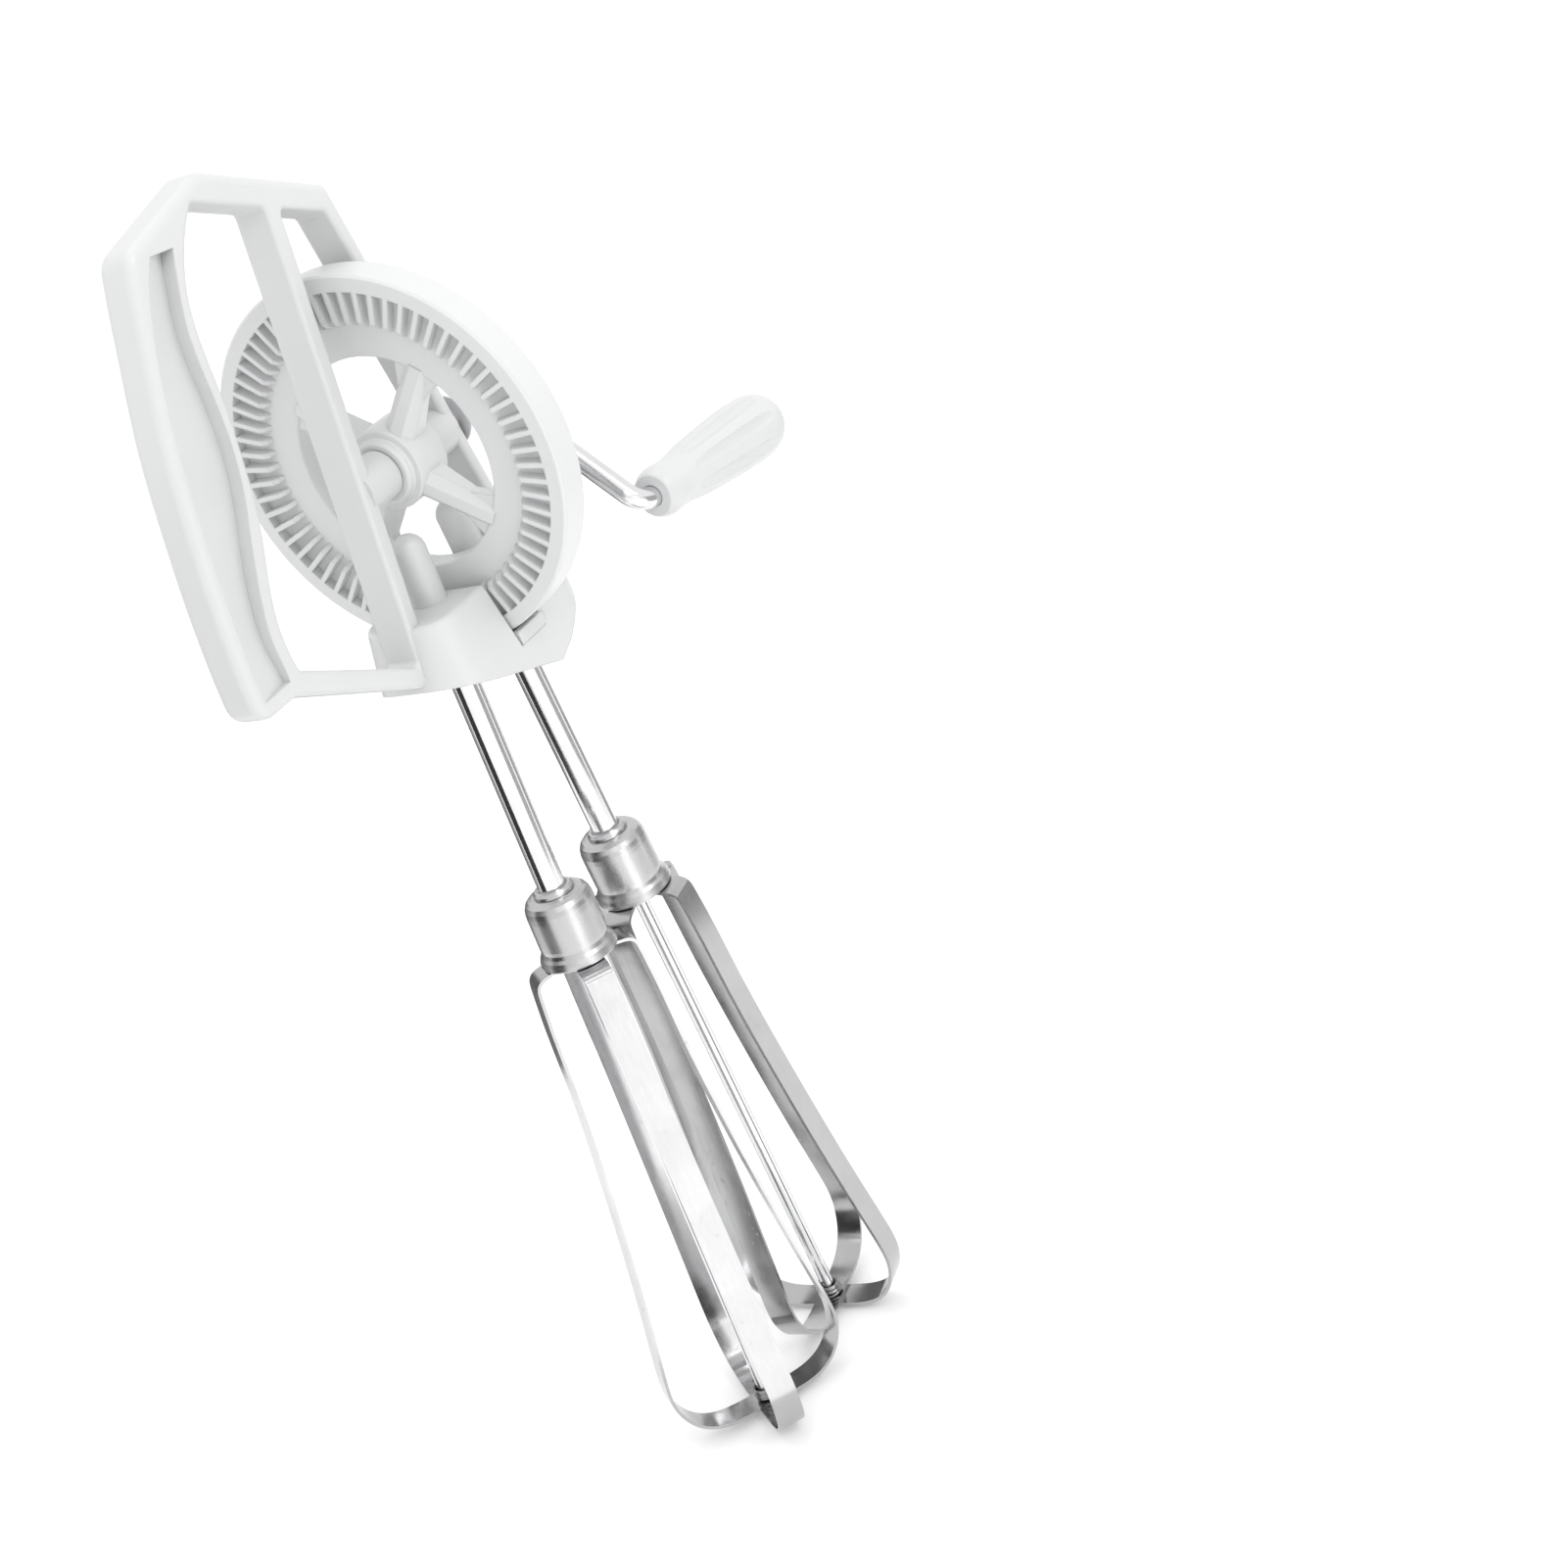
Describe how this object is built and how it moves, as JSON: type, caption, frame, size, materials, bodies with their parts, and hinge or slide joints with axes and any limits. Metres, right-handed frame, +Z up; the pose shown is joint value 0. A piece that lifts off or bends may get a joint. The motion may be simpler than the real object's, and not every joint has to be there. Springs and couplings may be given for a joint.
{
  "type": "hand-cranked egg beater",
  "caption": "Hand-cranked rotary egg beater: moulded frame with a loop handle, a large gear wheel turned by a bent crank, and caged strip-blade beaters on splayed shafts.",
  "frame": {"origin": "middle of the handle's grip, on the mid plane of the moulded frame, where the hand closes round it", "axes": "+Z up along the tool with the blades pointing down, +X from the handle to the crank side along the crank's axle, +Y to the left of someone looking along +X"},
  "size_m": [0.1454, 0.0778, 0.293],
  "materials": {
    "white_plastic": "glossy moulded, slightly aged off-white",
    "wheel_plastic": "glossy moulded off-white",
    "pinion_plastic": "natural nylon",
    "polished_steel": "polished",
    "blade_steel": "bright rolled strip with fine wear",
    "bright_rod": "bright drawn rod",
    "spring_steel": "bright spring steel"
  },
  "bodies": {
    "frame": {"yoke_frame": "white_plastic", "housing_base": "white_plastic"},
    "crank": {"crank_rod": "bright_rod", "drive_wheel": "wheel_plastic", "axle_washer": "bright_rod", "axle_push_nut": "spring_steel", "grip_retainer": "spring_steel"},
    "grip": {"crank_grip": "white_plastic"},
    "beater_front": {"drive_tube_front": "polished_steel", "pinion_front": "pinion_plastic", "thrust_washer_front": "pinion_plastic", "tube_collar_front": "polished_steel", "blade_cap_front": "polished_steel", "blade_hub_front": "wheel_plastic", "lower_blade_front": "blade_steel", "upper_blade_front": "blade_steel", "centre_rod_front": "blade_steel", "bottom_ferrule_front": "spring_steel"},
    "beater_rear": {"drive_tube_rear": "polished_steel", "pinion_rear": "pinion_plastic", "thrust_washer_rear": "pinion_plastic", "tube_collar_rear": "polished_steel", "blade_cap_rear": "polished_steel", "blade_hub_rear": "wheel_plastic", "lower_blade_rear": "blade_steel", "upper_blade_rear": "blade_steel", "centre_rod_rear": "blade_steel", "bottom_ferrule_rear": "spring_steel"}
  },
  "joints": [
    {"name": "crank_spin", "type": "hinge", "parent": "frame", "child": "crank", "pos_m": [0.046, 0, -0.02], "axis": [1, 0, 0], "continuous": true},
    {"name": "grip_spin", "type": "hinge", "parent": "crank", "child": "grip", "pos_m": [0.0817, -0.02559, -0.04943], "axis": [0.9945, -0.0686, -0.0789], "continuous": true},
    {"name": "beater_front_spin", "type": "hinge", "parent": "frame", "child": "beater_front", "pos_m": [0.0424, 0, -0.02], "axis": [0.04, 0, 0.9992], "continuous": true},
    {"name": "beater_rear_spin", "type": "hinge", "parent": "frame", "child": "beater_rear", "pos_m": [0.05674, 0, -0.02], "axis": [-0.0479, 0, 0.9988], "continuous": true}
  ],
  "couplings": [
    {"joint": "beater_front_spin", "follows": "crank_spin", "ratio": 6.6},
    {"joint": "beater_rear_spin", "follows": "crank_spin", "ratio": -6.6}
  ]
}
